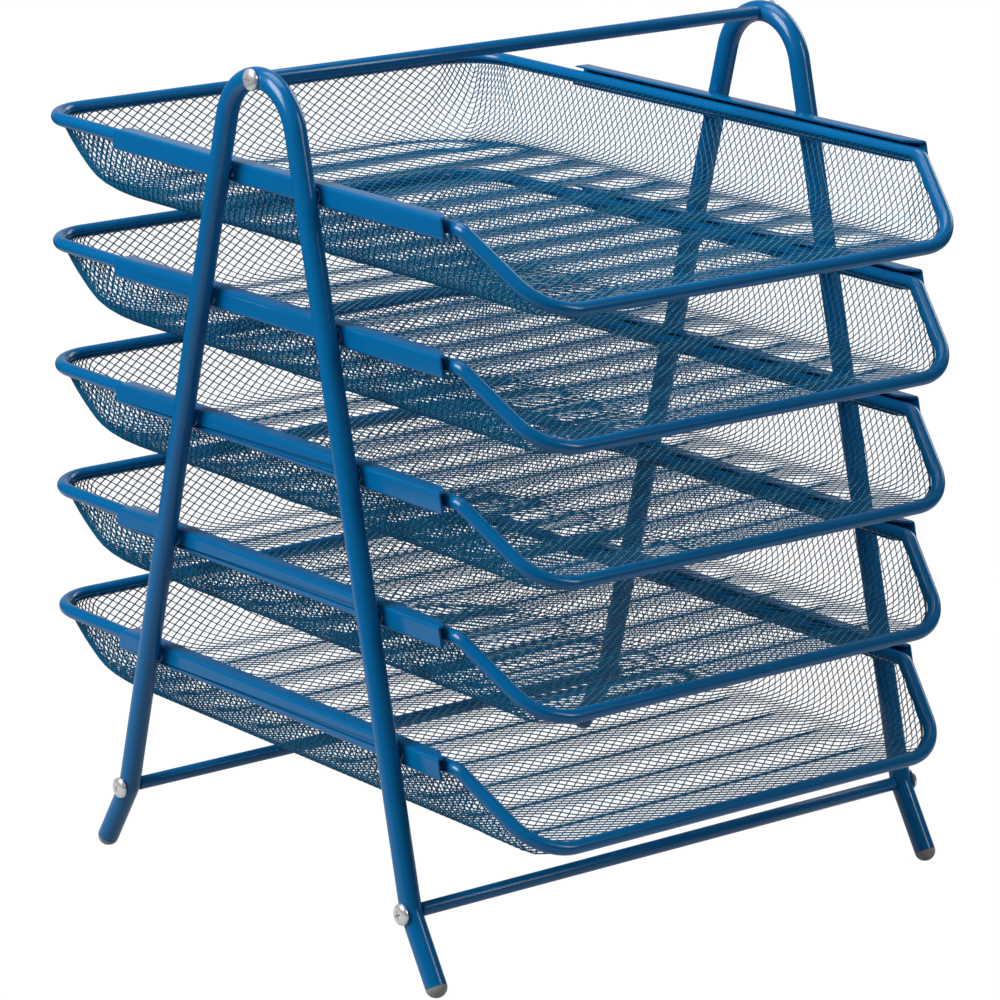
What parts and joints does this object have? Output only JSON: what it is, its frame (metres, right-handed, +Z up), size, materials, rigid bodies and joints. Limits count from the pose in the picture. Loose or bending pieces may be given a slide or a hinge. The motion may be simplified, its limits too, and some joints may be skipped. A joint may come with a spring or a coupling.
{
  "type": "paper tray organizer",
  "caption": "Letter tray stand: splayed tube frames with sheet channels that carry sliding mesh trays with rod rims, which pull out to the front.",
  "frame": {"origin": "on the surface that the stand rests on, under the middle of its outline", "axes": "+Z up, +X to the right across the trays, and the trays' open fronts face -Y, which is the way they pull out"},
  "size_m": [0.295, 0.352, 0.3747],
  "materials": {
    "blue_paint": "glossy powder coat",
    "zinc": "bright zinc plate",
    "foot_plastic": "satin grey"
  },
  "bodies": {
    "frame": {"left_frame_tube": "blue_paint", "right_frame_tube": "blue_paint", "top_bar": "blue_paint", "front_bar": "blue_paint", "rear_bar": "blue_paint", "left_top_screw": "zinc", "left_front_screw": "zinc", "left_rear_screw": "zinc", "right_top_screw": "zinc", "right_front_screw": "zinc", "right_rear_screw": "zinc", "left_front_foot_cap": "foot_plastic", "left_rear_foot_cap": "foot_plastic", "right_front_foot_cap": "foot_plastic", "right_rear_foot_cap": "foot_plastic", "left_channel_1": "blue_paint", "left_channel_2": "blue_paint", "left_channel_3": "blue_paint", "left_channel_4": "blue_paint", "left_channel_5": "blue_paint", "right_channel_1": "blue_paint", "right_channel_2": "blue_paint", "right_channel_3": "blue_paint", "right_channel_4": "blue_paint", "right_channel_5": "blue_paint"},
    "tray_1": {"tray_1_rim": "blue_paint", "tray_1_mesh": "blue_paint"},
    "tray_2": {"tray_2_rim": "blue_paint", "tray_2_mesh": "blue_paint"},
    "tray_3": {"tray_3_rim": "blue_paint", "tray_3_mesh": "blue_paint"},
    "tray_4": {"tray_4_rim": "blue_paint", "tray_4_mesh": "blue_paint"},
    "tray_5": {"tray_5_rim": "blue_paint", "tray_5_mesh": "blue_paint"}
  },
  "joints": [
    {"name": "tray_1_slide", "type": "slide", "parent": "frame", "child": "tray_1", "axis": [0, -1, 0], "range_m": [0, 0.25]},
    {"name": "tray_2_slide", "type": "slide", "parent": "frame", "child": "tray_2", "axis": [0, -1, 0], "range_m": [0, 0.25]},
    {"name": "tray_3_slide", "type": "slide", "parent": "frame", "child": "tray_3", "axis": [0, -1, 0], "range_m": [0, 0.25]},
    {"name": "tray_4_slide", "type": "slide", "parent": "frame", "child": "tray_4", "axis": [0, -1, 0], "range_m": [0, 0.25]},
    {"name": "tray_5_slide", "type": "slide", "parent": "frame", "child": "tray_5", "axis": [0, -1, 0], "range_m": [0, 0.25]}
  ]
}
